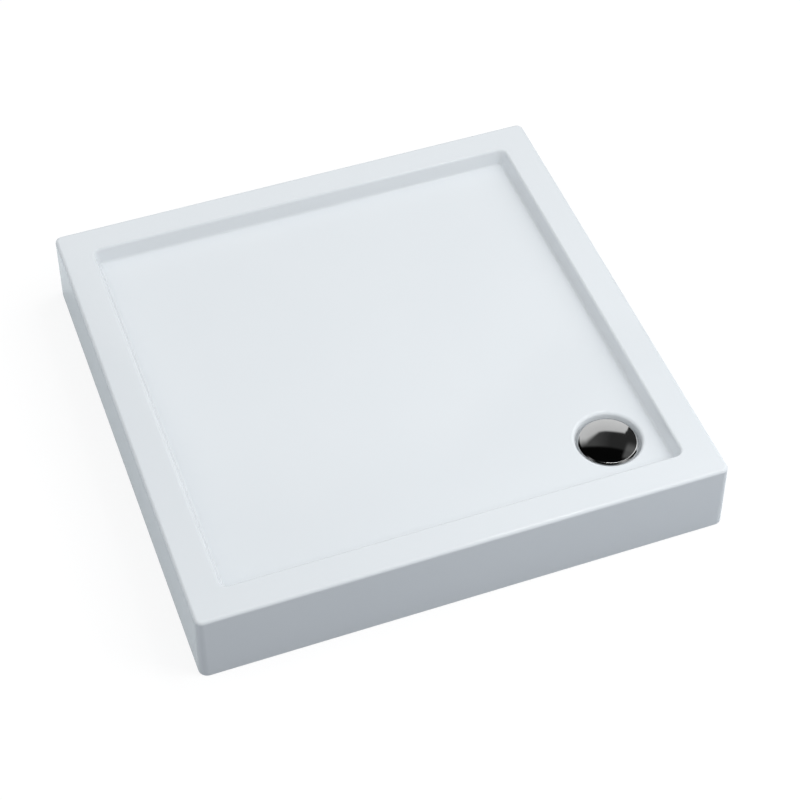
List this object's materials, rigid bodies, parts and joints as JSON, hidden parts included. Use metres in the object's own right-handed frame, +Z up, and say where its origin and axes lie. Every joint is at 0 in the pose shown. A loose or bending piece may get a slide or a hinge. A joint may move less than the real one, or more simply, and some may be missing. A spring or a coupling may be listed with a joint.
{
  "type": "shower tray",
  "caption": "Square raised shower tray with moulded aprons, a shallow basin, a corner waste with a lift-off cap, and threaded legs.",
  "frame": {"origin": "centre of the footprint, on the floor", "axes": "+X right along the front apron, +Y to the back, +Z up; the waste is in the +X -Y corner"},
  "size_m": [0.9, 0.9, 0.135],
  "materials": {
    "acrylic": "glossy white formed sheet",
    "fibreglass": "sprayed resin with chopped strands",
    "chipboard": "bare chipboard",
    "galvanised": "galvanised, spangled",
    "zinc": "bright zinc plated",
    "foot_plastic": "moulded, fine grain",
    "white_plastic": "moulded, satin",
    "trap_plastic": "moulded, satin",
    "rubber_seal": "plain",
    "chrome": "polished plate"
  },
  "bodies": {
    "tray": {"tray_shell": "acrylic", "fibreglass_backing": "fibreglass", "base_board": "chipboard", "bearer_left": "galvanised", "bearer_right": "galvanised", "bearer_centre": "galvanised", "bearer_screws": "zinc", "waste_flange": "white_plastic", "flange_seal": "rubber_seal", "trap_seal": "rubber_seal", "trap_body": "trap_plastic", "outlet_tail": "trap_plastic", "outlet_seal": "rubber_seal", "outlet_nut": "trap_plastic"},
    "leg_front_left": {"foot_front_left": "foot_plastic", "stud_front_left": "zinc"},
    "nuts_front_left": {"upper_nut_front_left": "zinc", "lower_nut_front_left": "zinc"},
    "leg_back_left": {"foot_back_left": "foot_plastic", "stud_back_left": "zinc"},
    "nuts_back_left": {"upper_nut_back_left": "zinc", "lower_nut_back_left": "zinc"},
    "leg_front_right": {"foot_front_right": "foot_plastic", "stud_front_right": "zinc"},
    "nuts_front_right": {"upper_nut_front_right": "zinc", "lower_nut_front_right": "zinc"},
    "leg_back_right": {"foot_back_right": "foot_plastic", "stud_back_right": "zinc"},
    "nuts_back_right": {"upper_nut_back_right": "zinc", "lower_nut_back_right": "zinc"},
    "leg_centre": {"foot_centre": "foot_plastic", "stud_centre": "zinc"},
    "nuts_centre": {"upper_nut_centre": "zinc", "lower_nut_centre": "zinc"},
    "cup": {"trap_cup": "white_plastic", "cup_ring": "rubber_seal"},
    "cap": {"waste_cap": "chrome", "cap_holder": "white_plastic"}
  },
  "joints": [
    {"name": "leg_front_left_travel", "type": "slide", "parent": "tray", "child": "leg_front_left", "axis": [0, 0, -1], "range_m": [-0.004, 0.02]},
    {"name": "nuts_front_left_turn", "type": "hinge", "parent": "tray", "child": "nuts_front_left", "pos_m": [-0.27, -0.29, 0.05], "axis": [0, 0, 1], "range_deg": [-960, 4800]},
    {"name": "leg_back_left_travel", "type": "slide", "parent": "tray", "child": "leg_back_left", "axis": [0, 0, -1], "range_m": [-0.004, 0.02]},
    {"name": "nuts_back_left_turn", "type": "hinge", "parent": "tray", "child": "nuts_back_left", "pos_m": [-0.27, 0.29, 0.05], "axis": [0, 0, 1], "range_deg": [-960, 4800]},
    {"name": "leg_front_right_travel", "type": "slide", "parent": "tray", "child": "leg_front_right", "axis": [0, 0, -1], "range_m": [-0.004, 0.02]},
    {"name": "nuts_front_right_turn", "type": "hinge", "parent": "tray", "child": "nuts_front_right", "pos_m": [0.27, -0.15, 0.05], "axis": [0, 0, 1], "range_deg": [-960, 4800]},
    {"name": "leg_back_right_travel", "type": "slide", "parent": "tray", "child": "leg_back_right", "axis": [0, 0, -1], "range_m": [-0.004, 0.02]},
    {"name": "nuts_back_right_turn", "type": "hinge", "parent": "tray", "child": "nuts_back_right", "pos_m": [0.27, 0.29, 0.05], "axis": [0, 0, 1], "range_deg": [-960, 4800]},
    {"name": "leg_centre_travel", "type": "slide", "parent": "tray", "child": "leg_centre", "axis": [0, 0, -1], "range_m": [-0.004, 0.02]},
    {"name": "nuts_centre_turn", "type": "hinge", "parent": "tray", "child": "nuts_centre", "pos_m": [0, 0, 0.05], "axis": [0, 0, 1], "range_deg": [-960, 4800]},
    {"name": "cup_lift", "type": "slide", "parent": "tray", "child": "cup", "axis": [0, 0, 1], "range_m": [0, 0.11]},
    {"name": "cap_lift", "type": "slide", "parent": "cup", "child": "cap", "axis": [0, 0, 1], "range_m": [0, 0.08]}
  ],
  "couplings": [
    {"joint": "nuts_front_left_turn", "follows": "leg_front_left_travel", "rad_per_m": 4188.8},
    {"joint": "nuts_back_left_turn", "follows": "leg_back_left_travel", "rad_per_m": 4188.8},
    {"joint": "nuts_front_right_turn", "follows": "leg_front_right_travel", "rad_per_m": 4188.8},
    {"joint": "nuts_back_right_turn", "follows": "leg_back_right_travel", "rad_per_m": 4188.8},
    {"joint": "nuts_centre_turn", "follows": "leg_centre_travel", "rad_per_m": 4188.8}
  ]
}
